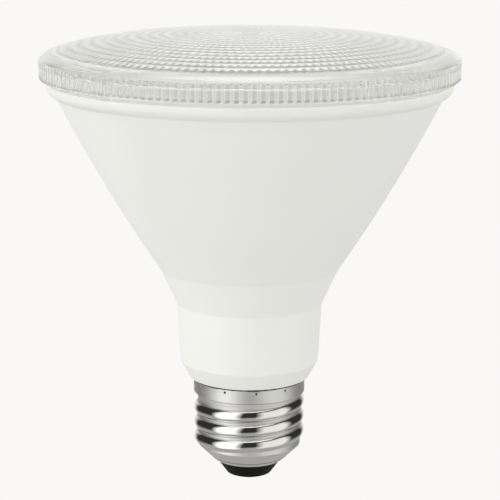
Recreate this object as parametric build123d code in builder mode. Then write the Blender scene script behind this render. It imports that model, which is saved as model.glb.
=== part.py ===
from build123d import *
import os
from math import acos, atan2, cos, pi, radians, sin, sqrt, tan

os.makedirs("parts", exist_ok=True)

# Reflector spotlight bulb on an E26 medium screw base. Millimetres, +Z up the bulb's axis.
# The origin is the tip of the centre contact, and every height is counted from there.

# Gaps between pieces
press_gap = 0.05  # pieces that are pressed or moulded together
slip_gap = 0.1  # pieces that slide together at assembly

# Centre contact
contact_radius = 4.2
contact_flat_radius = 1.8
contact_rise = 1.0
contact_edge = 0.3
shank_radius = 1.4
lead_bore_depth = 3.0

# Base insulator
insulator_tip_radius = 5.2
insulator_tip_round = 0.8
insulator_exposed = 3.6
insulator_inside = 2.6

# Screw shell
shell_wall = 0.35
lip_radius = 8.1
lip_height = 1.0
crease_radius = 9.3
shell_cone_angle = 45
thread_root_radius = 12.2
thread_depth = 0.9
thread_width = 2.7
thread_pitch = 3.629
thread_turns = 3
thread_flats = 6
thread_end_wall = 1.0
thread_start_angle = 90
thread_lead_in = 0.75
thread_length = 11.0
collar_flare = 2.1
collar_step = 1.0
collar_height = 3.4

# Housing: boss, neck, cone and shoulder
housing_wall = 2.0
shell_gap = 0.25
boss_reach = 13.0
boss_wall = 2.2
neck_foot_radius = 14.12
neck_radius = 16.4
neck_chamfer = 4.05
neck_length = 13.92
neck_draft = 3.17
band_radius = 21.02
band_height = 8.28
cone_height = 40.9
cone_bulge = 0.87
shoulder_run = 2.41
shoulder_height = 3.2
shoulder_bulge = 0.5
spigot_height = 2.8
spigot_wall = 1.6
rail_width = 1.2
rail_grip = 1.8
rail_stop = 2.0

# Front lens
lens_radius = 48.5
lens_lip = 1.35
lens_chamfer = 1.3
lens_skirt_wall = 2.55
lens_thickness = 2.2
rib_count = 164
rib_flats = 4
rib_height = 0.4
rib_land = 0.05
rib_length = 3.9
rim_round = 1.0
rim_height = 1.7
dome_rise = 4.2
dome_power = 3
dome_steps = 12
ring_pitch = 2.64
ring_depth = 0.35
pattern_margin = 3.5

# Heat spreader, LED board and reflector
cup_lift = 8.5
cup_floor = 3.0
cup_wall = 1.6
cup_depth = 21.0
led_board_thickness = 1.5
led_board_gap = 1.2
led_count = 8
led_size = 3.0
led_height = 0.8
led_margin = 0.8
screw_edge = 4.0
screw_radius = 1.25
screw_head_radius = 2.2
screw_head_height = 1.5
screw_head_edge = 0.5
screw_bite = 2.4
reflector_throat_radius = 11.5
reflector_wall = 1.2
reflector_clearance = 1.2
reflector_flange = 0.9

# Driver board and what is soldered to it
board_thickness = 1.2
board_tab_gap = 0.5
board_top_gap = 3.0
board_foot_rise = 2.0
part_spacing = 1.5
film_width = 6.0
film_height = 7.0
film_depth = 3.6
choke_radius = 2.5
choke_length = 7.0
bulk_radius = 4.0
bulk_length = 12.0
output_radius = 3.15
output_length = 10.0
core_width = 13.0
core_height = 11.0
core_depth = 5.0
core_leg = 3.0
core_yoke = 2.0
core_side = 2.0
winding_build = 2.0
fuse_radius = 1.3
fuse_length = 7.0
bridge_width = 6.5
bridge_height = 5.0
bridge_depth = 2.4
chip_width = 5.0
chip_height = 4.0
chip_depth = 1.5
pin_radius = 0.35
pin_spacing = 2.54
pin_overlap = 4.0
pin_slot_gap = 0.8
socket_width = 6.4
socket_depth = 3.2
socket_height = 2.4

# Leads
lead_radius = 0.5
lead_overlap = 3.0
lead_bend = 1.5
lead_spacing = 6.0
lead_drop = 1.6
lead_tuck = 6.0

# Heights along the axis
insulator_z = contact_rise
lip_z = insulator_z + insulator_exposed
crease_z = lip_z + lip_height
shell_cone_z = crease_z + (thread_root_radius - crease_radius) / tan(radians(shell_cone_angle))
insulator_top_z = crease_z + insulator_inside
thread_start_z = shell_cone_z + thread_lead_in
thread_top_z = shell_cone_z + thread_length
collar_z = thread_top_z + collar_flare
shell_top_z = collar_z + collar_height
neck_foot_z = shell_top_z + shell_gap
neck_z = neck_foot_z + neck_chamfer
neck_top_z = neck_z + neck_length
band_top_z = neck_top_z + band_height
cone_top_z = band_top_z + cone_height
ledge_z = cone_top_z + shoulder_height
spigot_z = ledge_z + spigot_height
rib_foot_z = ledge_z + lens_chamfer
rib_top_z = rib_foot_z + rib_length
dome_edge_z = rib_top_z + rim_height
apex_z = dome_edge_z + dome_rise

# Radii that follow from the fits
thread_crest_radius = thread_root_radius + thread_depth
collar_radius = thread_root_radius + collar_step
shell_bore_radius = thread_root_radius - shell_wall
collar_bore_radius = collar_radius - shell_wall
boss_radius = shell_bore_radius - slip_gap
boss_bore_radius = boss_radius - boss_wall
boss_collar_radius = collar_bore_radius - slip_gap
neck_top_radius = neck_radius + neck_length * tan(radians(neck_draft))
ledge_radius = lens_radius - lens_lip
cone_top_radius = ledge_radius - shoulder_run
spigot_radius = lens_radius - lens_skirt_wall - press_gap
spigot_bore_radius = spigot_radius - spigot_wall
rib_root_radius = lens_radius - rib_height
rim_radius = rib_root_radius - rib_land
dome_radius = lens_radius - rim_round
pattern_radius = dome_radius - pattern_margin
skirt_bore_radius = spigot_radius + press_gap

# The cone's inner face is straight, one wall inside the chord of the bulged outer face
cone_slope = (cone_top_radius - band_radius) / cone_height
cone_stretch = sqrt(1 + cone_slope**2)


def cone_bore(z, inset=0.0):
    return band_radius + cone_slope * (z - band_top_z) - (housing_wall + inset) * cone_stretch


# Inside of the housing: a floor over the boss, a short flare, the drafted neck and the cone
neck_floor_z = neck_foot_z + housing_wall
neck_floor_radius = neck_foot_radius - shell_gap
neck_bore_radius = neck_radius - housing_wall
neck_bore_top_radius = neck_top_radius - housing_wall
band_bore_radius = cone_bore(band_top_z)
spigot_bore_z = band_top_z + (spigot_bore_radius - band_bore_radius) / cone_slope

# Heat spreader, LED board, reflector and lens seats
cup_z = band_top_z + cup_lift
cup_floor_z = cup_z + cup_floor
cup_rim_z = cup_z + cup_depth
cup_inset = press_gap + cup_wall
led_board_z = cup_floor_z + press_gap
led_board_top_z = led_board_z + led_board_thickness
led_board_radius = cone_bore(cup_floor_z, cup_inset) - led_board_gap
led_ring_radius = reflector_throat_radius - led_size / sqrt(2) - led_margin
screw_circle_radius = led_board_radius - screw_edge
reflector_z = led_board_top_z + press_gap
reflector_flange_z = spigot_z + press_gap
reflector_top_z = reflector_flange_z + reflector_flange
lens_seat_z = reflector_top_z + press_gap

# Driver board: a tab in the boss and a wider part that stands on the neck's floor
boss_foot_z = neck_foot_z - boss_reach
board_foot_z = boss_foot_z + board_foot_rise
board_top_z = cup_z - board_top_gap
board_tab_half = boss_bore_radius - board_tab_gap
board_half = sqrt((neck_floor_radius - slip_gap) ** 2 - (board_thickness / 2) ** 2)
board_face = board_thickness / 2 + press_gap
tab_parts_z = board_foot_z + lead_overlap + part_spacing
neck_parts_z = neck_floor_z + part_spacing
core_z = neck_parts_z + max(bulk_length, output_length) + part_spacing
chip_z = neck_parts_z + bridge_height + part_spacing
pin_y = -board_face - pin_radius
lead_y = board_face + lead_radius

# The sheet's inner side along lip and cone, set in from the outer side by a distance
lip_tilt = atan2(lip_height, crease_radius - lip_radius)
cone_tilt = radians(90 - shell_cone_angle)


def shell_inside(inset):
    crease_run = inset * tan((cone_tilt - lip_tilt) / 2)
    across = (-sin(lip_tilt), cos(lip_tilt))
    lip = (lip_radius + inset * across[0], lip_z + inset * across[1])
    crease = (
        crease_radius + inset * across[0] - crease_run * cos(lip_tilt),
        crease_z + inset * across[1] - crease_run * sin(lip_tilt),
    )
    cone = (thread_root_radius - inset, shell_cone_z + inset * tan((pi / 2 - cone_tilt) / 2))
    return lip, crease, cone


# Centre contact: a shallow head with a flat tip, and a bored shank that takes the live lead
with BuildPart() as center_contact:
    with BuildSketch(Plane.XZ):
        with BuildLine():
            Polyline(
                (0, 0),
                (contact_flat_radius, 0),
                (contact_radius, contact_rise - contact_edge),
                (contact_radius, contact_rise - press_gap),
                (shank_radius, contact_rise - press_gap),
                (shank_radius, insulator_top_z),
                (0, insulator_top_z),
                close=True,
            )
        make_face()
    revolve(axis=Axis.Z)
    with Locations((0, 0, insulator_top_z)):
        Hole(lead_radius + press_gap, depth=lead_bore_depth)
center_contact.part.label = "center_contact"
export_step(center_contact.part, "parts/center_contact.step")

# Base insulator: a rounded plug that fills the shell's lip and spreads inside its cone
plug_lip, plug_crease = shell_inside(shell_wall + press_gap)[:2]
plug_top_radius = plug_crease[0] + (insulator_top_z - plug_crease[1]) / tan(cone_tilt)

with BuildPart() as base_insulator:
    with BuildSketch(Plane.XZ):
        with BuildLine():
            Polyline(
                (shank_radius + press_gap, insulator_z),
                (insulator_tip_radius, insulator_z),
                (plug_lip[0], lip_z),
                plug_lip,
                plug_crease,
                (plug_top_radius, insulator_top_z),
                (shank_radius + press_gap, insulator_top_z),
                close=True,
            )
        make_face()
    revolve(axis=Axis.Z)
    tip_circles = base_insulator.edges().filter_by(GeomType.CIRCLE).group_by(Axis.Z)[0]
    fillet(tip_circles.sort_by(SortBy.RADIUS)[-1], insulator_tip_round)
base_insulator.part.label = "base_insulator"
export_step(base_insulator.part, "parts/base_insulator.step")

# The rolled thread is a round ridge along a helix, with a smaller ridge pressed in from behind.
# Its round section is drawn with a few flats, which keeps the helical faces simple.
ridge_height = thread_crest_radius - thread_root_radius
ridge_radius = ((thread_width / 2) ** 2 + ridge_height**2) / (2 * ridge_height)
ridge_center = thread_crest_radius - ridge_radius


def thread_ridge(section_radius, foot_radius, end_trim=0.0):
    half_turn = acos((foot_radius - ridge_center) / section_radius)
    flat_turns = [half_turn * (2 * i / thread_flats - 1) for i in range(thread_flats + 1)]
    foot = ridge_center - foot_radius
    section = [(foot + section_radius * cos(t), section_radius * sin(t)) for t in flat_turns]
    trim_turn = end_trim / (2 * pi * foot_radius)
    helix_height = thread_pitch * (thread_turns - 2 * trim_turn)
    helix_foot = (0, 0, thread_start_z + thread_pitch * trim_turn)
    with BuildPart() as ridge:
        with BuildLine() as path:
            Helix(thread_pitch, helix_height, foot_radius, center=helix_foot)
        with BuildSketch(Plane(origin=path.line @ 0, x_dir=(1, 0, 0), z_dir=path.line % 0)):
            with BuildLine():
                Polyline(*section, close=True)
            make_face()
        sweep(path=path.line, is_frenet=True)
    return ridge.part.rotate(Axis.Z, thread_start_angle + 360 * trim_turn)


# Screw shell: one sheet from the rolled-in lip through cone and thread to the collar
sheet_lip, sheet_crease, sheet_cone = shell_inside(shell_wall)
outer_ridge = thread_ridge(ridge_radius, thread_root_radius - shell_wall)
inner_ridge = thread_ridge(ridge_radius - shell_wall, shell_bore_radius - shell_wall, thread_end_wall)

with BuildPart() as screw_shell:
    with BuildSketch(Plane.XZ):
        with BuildLine():
            Polyline((0, shell_top_z), (collar_radius, shell_top_z), (collar_radius, collar_z))
            TangentArc((collar_radius, collar_z), (thread_root_radius, thread_top_z), tangent=(0, -1))
            Polyline(
                (thread_root_radius, thread_top_z),
                (thread_root_radius, shell_cone_z),
                (crease_radius, crease_z),
                (lip_radius, lip_z),
                sheet_lip,
                (0, sheet_lip[1]),
                (0, shell_top_z),
            )
        make_face()
    revolve(axis=Axis.Z)
    add(outer_ridge)
    with BuildSketch(Plane.XZ):
        with BuildLine():
            Polyline((0, shell_top_z), (collar_bore_radius, shell_top_z), (collar_bore_radius, collar_z))
            TangentArc((collar_bore_radius, collar_z), (shell_bore_radius, thread_top_z), tangent=(0, -1))
            Polyline(
                (shell_bore_radius, thread_top_z),
                sheet_cone,
                sheet_crease,
                sheet_lip,
                (0, sheet_lip[1]),
                (0, shell_top_z),
            )
        make_face()
    revolve(axis=Axis.Z, mode=Mode.SUBTRACT)
    add(inner_ridge, mode=Mode.SUBTRACT)
screw_shell.part.label = "screw_shell"
export_step(screw_shell.part, "parts/screw_shell.step")

# Housing: one moulding from the boss in the screw shell to the spigot under the lens
cone_mid = ((band_radius + cone_top_radius) / 2 + cone_bulge, (band_top_z + cone_top_z) / 2)
shoulder_mid = (
    cone_top_radius + shoulder_run / 2 + shoulder_bulge,
    cone_top_z + shoulder_height / 2 - shoulder_bulge,
)
rail_reach = neck_bore_radius + housing_wall / 2 - board_half + rail_grip
rail_x = board_half - rail_grip + rail_reach / 2
rail_y = board_thickness / 2 + slip_gap + rail_width / 2
rail_length = neck_length - rail_stop
groove_x = shell_bore_radius - press_gap - lead_radius

with BuildPart() as housing:
    with BuildSketch(Plane.XZ):
        with BuildLine():
            Polyline(
                (band_bore_radius, band_top_z),
                (neck_bore_top_radius, neck_top_z),
                (neck_bore_radius, neck_z),
                (neck_floor_radius, neck_floor_z),
                (boss_bore_radius, neck_floor_z),
                (boss_bore_radius, boss_foot_z),
                (boss_radius, boss_foot_z),
                (boss_radius, thread_top_z),
                (boss_collar_radius, collar_z),
                (boss_collar_radius, neck_foot_z),
                (neck_foot_radius, neck_foot_z),
                (neck_radius, neck_z),
                (neck_top_radius, neck_top_z),
                (band_radius, band_top_z),
            )
            ThreePointArc((band_radius, band_top_z), cone_mid, (cone_top_radius, cone_top_z))
            ThreePointArc((cone_top_radius, cone_top_z), shoulder_mid, (ledge_radius, ledge_z))
            Polyline(
                (ledge_radius, ledge_z),
                (spigot_radius, ledge_z),
                (spigot_radius, spigot_z),
                (spigot_bore_radius, spigot_z),
                (spigot_bore_radius, spigot_bore_z),
                (band_bore_radius, band_top_z),
            )
        make_face()
    revolve(axis=Axis.Z)
    with Locations((0, 0, neck_z)):
        with GridLocations(2 * rail_x, 2 * rail_y, 2, 2):
            Box(rail_reach, rail_width, rail_length, align=(Align.CENTER, Align.CENTER, Align.MIN))
    with Locations((groove_x - lead_radius - slip_gap, 0, boss_foot_z)):
        Box(
            boss_radius,
            2 * (lead_radius + slip_gap),
            lead_tuck + lead_radius,
            align=(Align.MIN, Align.CENTER, Align.MIN),
            mode=Mode.SUBTRACT,
        )
housing.part.label = "housing"
export_step(housing.part, "parts/housing.step")

# Front lens: domed face, V rings on its underside, and a skirt with round ribs.
# Each rib's round section is drawn with a few flats, because it repeats so often.
# The face falls from its apex with a power of the radius, so its middle is flatter than its edge.
ring_count = int(pattern_radius / ring_pitch)
rib_step = 360 / rib_count


def dome_face(radius):
    return apex_z - dome_rise * (radius / dome_radius) ** dome_power


def under_face(radius):
    return dome_face(radius) - lens_thickness


def polar_point(radius, angle):
    return (radius * cos(radians(angle)), radius * sin(radians(angle)))


ring_edges = [pattern_radius - ring_pitch * i for i in range(ring_count + 1)]
ring_points = []
for edge in ring_edges[:-1]:
    ridge_line = edge - ring_pitch / 2
    ring_points.append((edge, under_face(edge)))
    ring_points.append((ridge_line, under_face(ridge_line) - ring_depth))
ring_points.append((ring_edges[-1], under_face(ring_edges[-1])))

dome_points = []
for i in range(dome_steps + 1):
    face_radius = dome_radius * i / dome_steps
    dome_points.append((face_radius, dome_face(face_radius)))
dome_edge_slope = (dome_radius, -dome_power * dome_rise)

rib_points = []
for i in range(rib_count):
    for j in range(rib_flats):
        side = 2 * j / rib_flats - 1
        rib_radius = rib_root_radius + rib_height * (1 - side**2)
        rib_points.append(polar_point(rib_radius, (i + side / 2) * rib_step))

with BuildPart() as front_lens:
    with BuildSketch(Plane.XZ):
        with BuildLine():
            Spline(*dome_points, tangents=((1, 0), dome_edge_slope))
            TangentArc((rim_radius, rib_top_z), (dome_radius, dome_edge_z), tangent=(0, 1))
            Polyline(
                (rim_radius, rib_top_z),
                (rim_radius, rib_foot_z),
                (ledge_radius, ledge_z + press_gap),
                (skirt_bore_radius, ledge_z + press_gap),
                (skirt_bore_radius, lens_seat_z),
                (spigot_bore_radius, lens_seat_z),
                *ring_points,
                (0, under_face(0) - ring_depth),
                (0, apex_z),
            )
        make_face()
    revolve(axis=Axis.Z)
    with BuildSketch(Plane.XY.offset(rib_foot_z)):
        with BuildLine():
            Polyline(*rib_points, close=True)
        make_face()
        Circle((skirt_bore_radius + rim_radius) / 2, mode=Mode.SUBTRACT)
    extrude(amount=rib_length)
front_lens.part.label = "front_lens"
export_step(front_lens.part, "parts/front_lens.step")

# Heat spreader: an aluminium cup wedged in the cone, with a floor for the LED board
pin_slot = (pin_spacing + 2 * (pin_radius + pin_slot_gap), 2 * (pin_radius + pin_slot_gap))

with BuildPart() as heat_spreader:
    with BuildSketch(Plane.XZ):
        with BuildLine():
            Polyline(
                (0, cup_z),
                (cone_bore(cup_z, press_gap), cup_z),
                (cone_bore(cup_rim_z, press_gap), cup_rim_z),
                (cone_bore(cup_rim_z, cup_inset), cup_rim_z),
                (cone_bore(cup_floor_z, cup_inset), cup_floor_z),
                (0, cup_floor_z),
                close=True,
            )
        make_face()
    revolve(axis=Axis.Z)
    with Locations((0, pin_y, cup_z)):
        Box(*pin_slot, cup_floor, align=(Align.CENTER, Align.CENTER, Align.MIN), mode=Mode.SUBTRACT)
    with Locations((0, 0, cup_floor_z)):
        with PolarLocations(screw_circle_radius, 2):
            Hole(screw_radius + press_gap, depth=cup_floor)
heat_spreader.part.label = "heat_spreader"
export_step(heat_spreader.part, "parts/heat_spreader.step")

# LED board: a disc with the same slot and screw holes
with BuildPart() as led_board:
    with BuildSketch(Plane.XY.offset(led_board_z)):
        Circle(led_board_radius)
        with PolarLocations(screw_circle_radius, 2):
            Circle(screw_radius + slip_gap, mode=Mode.SUBTRACT)
        with Locations((0, pin_y)):
            Rectangle(*pin_slot, mode=Mode.SUBTRACT)
    extrude(amount=led_board_thickness)
led_board.part.label = "led_board"
export_step(led_board.part, "parts/led_board.step")

# LEDs: a ring of square packages inside the reflector's throat
with BuildPart() as led_packages:
    with BuildSketch(Plane.XY.offset(led_board_top_z + press_gap)):
        with PolarLocations(led_ring_radius, led_count):
            Rectangle(led_size, led_size)
    extrude(amount=led_height)
led_packages.part.label = "led_packages"
export_step(led_packages.part, "parts/led_packages.step")

# Board screws: pan heads on the board, shanks in the cup's floor
screw_seat_z = led_board_top_z + press_gap
with BuildPart() as board_screws:
    with BuildSketch(Plane.XY.offset(screw_seat_z)):
        with PolarLocations(screw_circle_radius, 2):
            Circle(screw_head_radius)
    extrude(amount=screw_head_height)
    chamfer(board_screws.faces().sort_by(Axis.Z)[-2:].edges(), screw_head_edge)
    with BuildSketch(Plane.XY.offset(screw_seat_z)):
        with PolarLocations(screw_circle_radius, 2):
            Circle(screw_radius)
    extrude(amount=-(led_board_thickness + screw_bite))
board_screws.part.label = "board_screws"
export_step(board_screws.part, "parts/board_screws.step")

# Reflector: two flared stages from the throat on the board to a flange on the spigot
knee_radius = cone_bore(cup_rim_z, cup_inset) - reflector_clearance
mouth_radius = spigot_bore_radius - slip_gap

with BuildPart() as reflector:
    with BuildSketch(Plane.XZ):
        with BuildLine():
            Polyline(
                (reflector_throat_radius, reflector_z),
                (reflector_throat_radius + reflector_wall, reflector_z),
                (knee_radius, cup_rim_z),
                (mouth_radius, reflector_flange_z),
                (spigot_radius - slip_gap, reflector_flange_z),
                (spigot_radius - slip_gap, reflector_top_z),
                (mouth_radius - reflector_wall, reflector_top_z),
                (knee_radius - reflector_wall, cup_rim_z),
                close=True,
            )
        make_face()
    revolve(axis=Axis.Z)
reflector.part.label = "reflector"
export_step(reflector.part, "parts/reflector.step")

# Output socket on the LED board, with two bores for the pins
socket_z = led_board_top_z + press_gap
with BuildPart() as output_socket:
    with BuildSketch(Plane.XY.offset(socket_z)):
        with Locations((0, pin_y)):
            Rectangle(socket_width, socket_depth)
            with GridLocations(pin_spacing, 0, 2, 1):
                Circle(pin_radius + press_gap, mode=Mode.SUBTRACT)
    extrude(amount=socket_height)
output_socket.part.label = "output_socket"
export_step(output_socket.part, "parts/output_socket.step")

# Output pins: soldered flat on the driver board, up through the slots into the socket
pin_foot_z = board_top_z - pin_overlap
with BuildPart() as output_pins:
    with BuildSketch(Plane.XY.offset(pin_foot_z)):
        with Locations((0, pin_y)):
            with GridLocations(pin_spacing, 0, 2, 1):
                Circle(pin_radius)
    extrude(amount=socket_z + socket_height - pin_foot_z)
output_pins.part.label = "output_pins"
export_step(output_pins.part, "parts/output_pins.step")

# Driver board: stands on edge, its wide part between the housing's rails
with BuildPart() as driver_board:
    with BuildSketch(Plane.XZ):
        with BuildLine():
            Polyline(
                (-board_tab_half, board_foot_z),
                (board_tab_half, board_foot_z),
                (board_tab_half, neck_floor_z + press_gap),
                (board_half, neck_floor_z + press_gap),
                (board_half, board_top_z),
                (-board_half, board_top_z),
                (-board_half, neck_floor_z + press_gap),
                (-board_tab_half, neck_floor_z + press_gap),
                close=True,
            )
        make_face()
    extrude(amount=board_thickness / 2, both=True)
driver_board.part.label = "driver_board"
export_step(driver_board.part, "parts/driver_board.step")

# Film capacitor: a box on the board's tab
stand_on_face = (Align.CENTER, Align.MIN, Align.MIN)
hang_on_back = (Align.CENTER, Align.MAX, Align.MIN)

with BuildPart() as film_capacitor:
    with Locations((-(film_width + part_spacing) / 2, board_face, tab_parts_z)):
        Box(film_width, film_depth, film_height, align=stand_on_face)
film_capacitor.part.label = "film_capacitor"
export_step(film_capacitor.part, "parts/film_capacitor.step")

# Line choke: a drum beside the film capacitor
with BuildPart() as line_choke:
    with BuildSketch(Plane.XY.offset(tab_parts_z)):
        with Locations((choke_radius + part_spacing / 2, board_face + choke_radius)):
            Circle(choke_radius)
    extrude(amount=choke_length)
line_choke.part.label = "line_choke"
export_step(line_choke.part, "parts/line_choke.step")

# Bulk capacitor: a can lying along the board in the neck
with BuildPart() as bulk_capacitor:
    with BuildSketch(Plane.XY.offset(neck_parts_z)):
        with Locations((-(bulk_radius + part_spacing / 2), board_face + bulk_radius)):
            Circle(bulk_radius)
    extrude(amount=bulk_length)
bulk_capacitor.part.label = "bulk_capacitor"
export_step(bulk_capacitor.part, "parts/bulk_capacitor.step")

# Output capacitor: a smaller can beside it
with BuildPart() as output_capacitor:
    with BuildSketch(Plane.XY.offset(neck_parts_z)):
        with Locations((output_radius + part_spacing / 2, board_face + output_radius)):
            Circle(output_radius)
    extrude(amount=output_length)
output_capacitor.part.label = "output_capacitor"
export_step(output_capacitor.part, "parts/output_capacitor.step")

# Transformer: a ferrite frame with a middle leg, and the winding around that leg
window_width = (core_width - core_leg) / 2 - core_side
window_height = core_height - 2 * core_yoke
winding_depth = core_depth + 2 * winding_build
winding_width = core_leg + 2 * (window_width - press_gap)
winding_y = board_face + winding_depth / 2
core_mid_z = core_z + core_height / 2

with BuildPart() as transformer_core:
    with BuildSketch(Plane.XZ.offset(-winding_y)):
        with Locations((0, core_mid_z)):
            Rectangle(core_width, core_height)
            with GridLocations(core_leg + window_width, 0, 2, 1):
                Rectangle(window_width, window_height, mode=Mode.SUBTRACT)
    extrude(amount=core_depth / 2, both=True)
transformer_core.part.label = "transformer_core"
export_step(transformer_core.part, "parts/transformer_core.step")

with BuildPart() as transformer_winding:
    with BuildSketch(Plane.XY.offset(core_z + core_yoke + press_gap)):
        with Locations((0, winding_y)):
            Rectangle(winding_width, winding_depth)
            Rectangle(core_leg + 2 * press_gap, core_depth + 2 * press_gap, mode=Mode.SUBTRACT)
    extrude(amount=window_height - 2 * press_gap)
transformer_winding.part.label = "transformer_winding"
export_step(transformer_winding.part, "parts/transformer_winding.step")

# On the board's back: fusible resistor, bridge rectifier and driver chip
with BuildPart() as fusible_resistor:
    with BuildSketch(Plane.XY.offset(tab_parts_z)):
        with Locations((0, -(board_face + fuse_radius))):
            Circle(fuse_radius)
    extrude(amount=fuse_length)
fusible_resistor.part.label = "fusible_resistor"
export_step(fusible_resistor.part, "parts/fusible_resistor.step")

with BuildPart() as bridge_rectifier:
    with Locations((0, -board_face, neck_parts_z)):
        Box(bridge_width, bridge_depth, bridge_height, align=hang_on_back)
bridge_rectifier.part.label = "bridge_rectifier"
export_step(bridge_rectifier.part, "parts/bridge_rectifier.step")

with BuildPart() as driver_chip:
    with Locations((0, -board_face, chip_z)):
        Box(chip_width, chip_depth, chip_height, align=hang_on_back)
driver_chip.part.label = "driver_chip"
export_step(driver_chip.part, "parts/driver_chip.step")

# Live lead: out of the contact's shank and up the board's face
lead_top_z = board_foot_z + lead_overlap
lead_x = lead_spacing / 2
live_foot_z = insulator_top_z - lead_bore_depth + press_gap

with BuildPart() as live_lead:
    with BuildLine() as live_path:
        FilletPolyline(
            (0, 0, live_foot_z),
            (0, 0, insulator_top_z + lead_drop),
            (-lead_x, lead_y, board_foot_z),
            (-lead_x, lead_y, lead_top_z),
            radius=lead_bend,
        )
    with BuildSketch(Plane(origin=live_path.line @ 0, z_dir=live_path.line % 0)):
        Circle(lead_radius)
    sweep(path=live_path.line)
live_lead.part.label = "live_lead"
export_step(live_lead.part, "parts/live_lead.step")

# Neutral lead: down the board, under the boss and up its groove against the shell
neutral_z = boss_foot_z - lead_drop

with BuildPart() as neutral_lead:
    with BuildLine() as neutral_path:
        FilletPolyline(
            (lead_x, lead_y, lead_top_z),
            (lead_x, lead_y, neutral_z),
            (groove_x, 0, neutral_z),
            (groove_x, 0, boss_foot_z + lead_tuck),
            radius=lead_bend,
        )
    with BuildSketch(Plane(origin=neutral_path.line @ 0, z_dir=neutral_path.line % 0)):
        Circle(lead_radius)
    sweep(path=neutral_path.line)
neutral_lead.part.label = "neutral_lead"
export_step(neutral_lead.part, "parts/neutral_lead.step")
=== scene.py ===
import bpy
import numpy as np
from mathutils import Matrix, Vector


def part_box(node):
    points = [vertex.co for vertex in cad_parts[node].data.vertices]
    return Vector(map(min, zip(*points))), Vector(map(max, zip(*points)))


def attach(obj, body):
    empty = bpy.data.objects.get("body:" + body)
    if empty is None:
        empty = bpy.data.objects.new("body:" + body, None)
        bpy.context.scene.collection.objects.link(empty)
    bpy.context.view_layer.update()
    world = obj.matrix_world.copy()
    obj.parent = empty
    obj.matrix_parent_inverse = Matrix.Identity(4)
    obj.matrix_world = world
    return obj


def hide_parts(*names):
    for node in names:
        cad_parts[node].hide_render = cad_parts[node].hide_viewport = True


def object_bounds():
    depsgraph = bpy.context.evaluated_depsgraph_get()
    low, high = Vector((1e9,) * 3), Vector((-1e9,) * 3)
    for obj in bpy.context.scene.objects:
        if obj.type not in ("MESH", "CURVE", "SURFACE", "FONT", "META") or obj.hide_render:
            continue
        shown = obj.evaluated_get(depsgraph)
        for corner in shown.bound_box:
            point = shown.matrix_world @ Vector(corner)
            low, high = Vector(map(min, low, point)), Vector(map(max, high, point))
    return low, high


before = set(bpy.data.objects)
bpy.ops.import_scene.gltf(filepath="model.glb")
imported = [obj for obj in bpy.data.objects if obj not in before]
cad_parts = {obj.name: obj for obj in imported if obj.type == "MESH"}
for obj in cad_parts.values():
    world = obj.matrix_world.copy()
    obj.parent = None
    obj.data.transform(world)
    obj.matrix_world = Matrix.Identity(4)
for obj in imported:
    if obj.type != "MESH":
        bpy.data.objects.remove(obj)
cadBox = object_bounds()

mm = 0.001  # pieces are worked out in millimetres and put into the mesh in metres
scene = bpy.context.scene


# Shape helpers

def spanOf(node):  # lowest and highest corner of a CAD node in millimetres
    return [np.array(corner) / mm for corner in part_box(node)]


def turnsOf(count):  # azimuth of each point of a ringRow
    return 2 * np.pi * np.arange(count) / count


def ringRow(radius, height, count):
    # A circle of points seen from the front: turn 0 faces -Y and grows towards +X.
    # Radius and height are numbers, or arrays with one value for each point.
    turn = turnsOf(count)
    height = np.broadcast_to(height, count)
    return np.stack([radius * np.sin(turn), -radius * np.cos(turn), height], -1)


def stripFaces(firstA, countA, firstB, countB):
    # Faces between two circles of points. Equal circles give quads. Unequal ones are zipped:
    # both circles' steps are sorted by azimuth, and each step adds one triangle.
    if countA == countB:
        j = np.arange(countA)
        k = (j + 1) % countA
        return np.stack([firstA + j, firstB + j, firstB + k, firstA + k], -1).tolist()
    if countA == 1 or countB == 1:
        j = np.arange(max(countA, countB))
        k = (j + 1) % len(j)
        if countA == 1:
            return np.stack([0 * j + firstA, firstB + j, firstB + k], -1).tolist()
        return np.stack([firstA + j, 0 * j + firstB, firstA + k], -1).tolist()
    ends = np.concatenate([np.arange(1, countA + 1) / countA, np.arange(1, countB + 1) / countB])
    onA = np.concatenate([np.ones(countA, bool), np.zeros(countB, bool)])[np.argsort(ends, kind="stable")]
    a = np.cumsum(onA) - onA
    b = np.cumsum(~onA) - ~onA
    third = np.where(onA, firstA + (a + 1) % countA, firstB + (b + 1) % countB)
    return np.stack([firstA + a % countA, firstB + b % countB, third], -1).tolist()


def turnedSkin(name, rows, loop=False, sharpAngle=35.0, marks=None):
    # One closed skin through rows of points around the axis. The rows run from the top outwards
    # and down the outside, so that faces point outwards. A row of one point is a pole.
    firsts = np.cumsum([0] + [len(row) for row in rows])
    pairs = list(zip(range(len(rows) - 1), range(1, len(rows))))
    if loop:
        pairs.append((len(rows) - 1, 0))
    faces = []
    for a, b in pairs:
        faces += stripFaces(firsts[a], len(rows[a]), firsts[b], len(rows[b]))
    mesh = bpy.data.meshes.new(name)
    mesh.from_pydata((np.concatenate(rows) * mm).tolist(), [], faces)
    for key, values in (marks or {}).items():
        mesh.attributes.new(key, "FLOAT", "POINT").data.foreach_set("value", np.concatenate(values))
    mesh.validate()
    mesh.shade_smooth()
    mesh.set_sharp_from_angle(angle=np.radians(sharpAngle))
    piece = bpy.data.objects.new(name, mesh)
    scene.collection.objects.link(piece)
    print(name, "triangles", sum(len(face) - 2 for face in faces))
    return piece


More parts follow.
